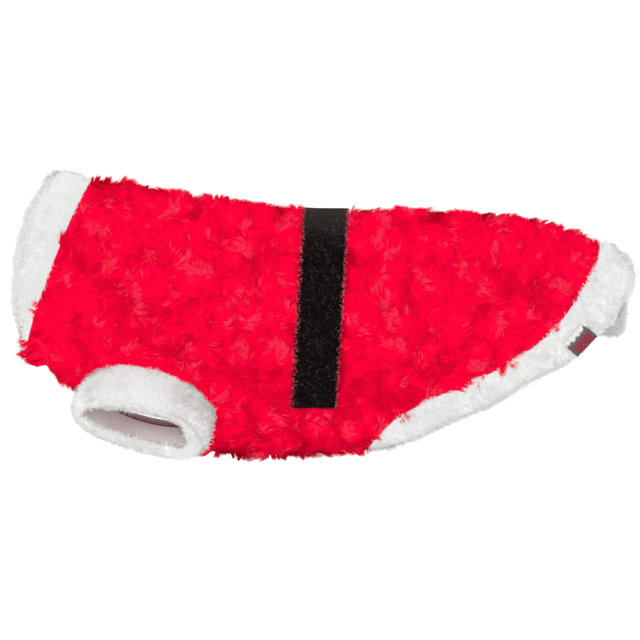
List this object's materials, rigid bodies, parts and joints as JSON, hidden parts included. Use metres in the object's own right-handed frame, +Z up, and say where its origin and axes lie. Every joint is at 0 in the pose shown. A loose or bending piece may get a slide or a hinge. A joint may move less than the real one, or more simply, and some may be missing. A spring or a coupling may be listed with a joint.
{
  "type": "dog santa suit",
  "caption": "Pull-on winter coat for a small dog in red swirl plush with white plush neck, leg and hem trims and a black velvet belt, laid flat on its side.",
  "frame": {"origin": "middle of the coat's plan, on the surface it lies on", "axes": "+X from the neck to the tail, +Y from the belly fold to the spine fold, +Z up from the surface"},
  "size_m": [0.428, 0.1956, 0.0541],
  "materials": {
    "red_plush": "long soft pile combed in swirls",
    "white_plush": "short dense matt pile",
    "black_velvet": "smooth velvet with a faint sheen",
    "woven_tape": "plain woven tape"
  },
  "bodies": {
    "root": {"back_panel_front": "red_plush", "back_panel_rear": "red_plush", "belly_panel": "red_plush", "belt": "black_velvet", "collar_trim": "white_plush", "hem_trim": "white_plush", "leg_cuff_near": "white_plush", "leg_cuff_far": "white_plush", "label": "woven_tape"}
  },
  "joints": []
}
